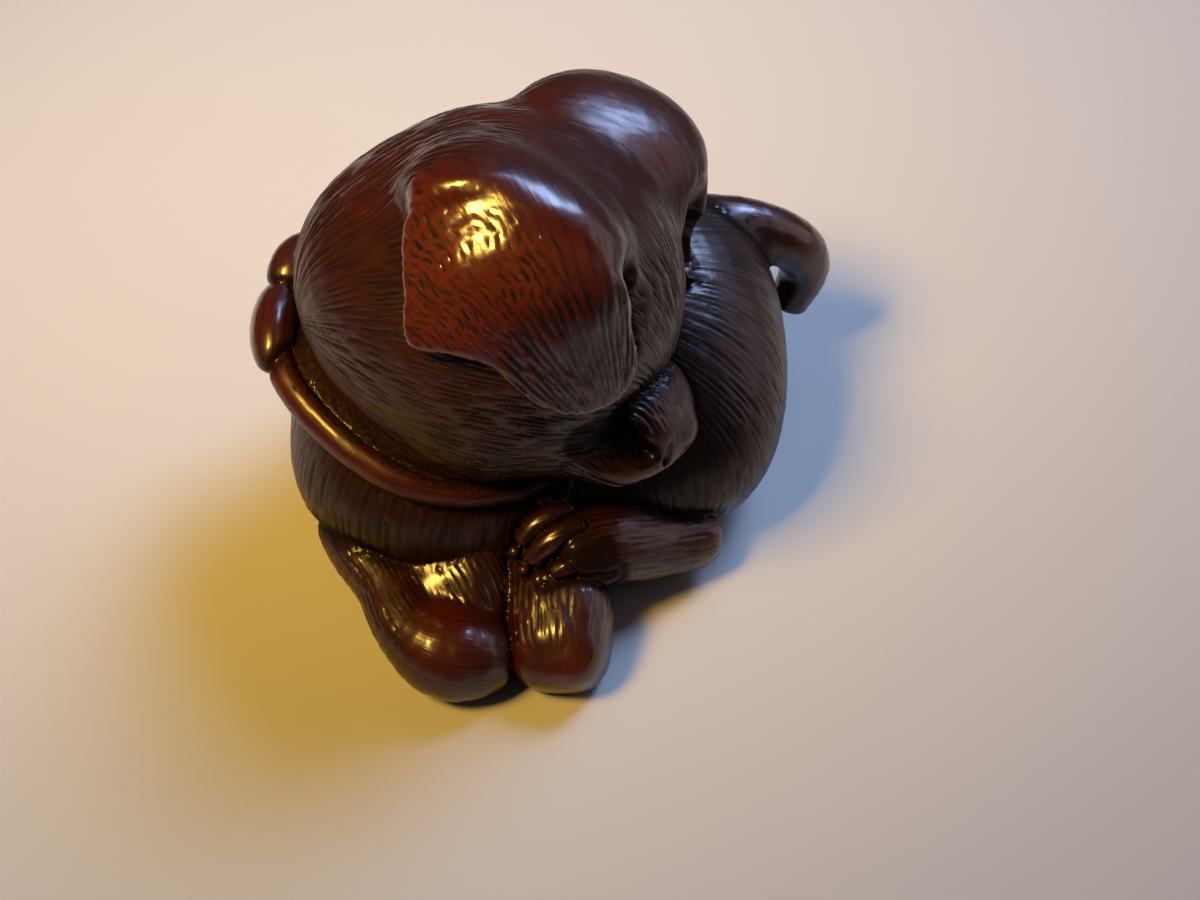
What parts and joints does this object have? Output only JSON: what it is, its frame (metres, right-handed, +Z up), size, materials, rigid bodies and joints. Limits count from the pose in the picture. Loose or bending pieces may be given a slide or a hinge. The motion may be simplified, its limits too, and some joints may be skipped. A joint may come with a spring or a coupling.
{
  "type": "netsuke",
  "caption": "Carved wooden toggle for hanging a purse from a sash: a plump curled puppy, its head turned back over its flank, wearing a tied cord collar.",
  "frame": {"origin": "on the surface it rests on, under the middle of its outline seen from above", "axes": "+X towards the rump and the curled tail, -Y towards the forelegs, +Z up through the head"},
  "size_m": [0.037, 0.0358, 0.0333],
  "materials": {
    "stained_boxwood": "dark stained boxwood, hand polished, with redder brown where handling has worn it"
  },
  "bodies": {
    "root": {"puppy": "stained_boxwood"}
  },
  "joints": []
}
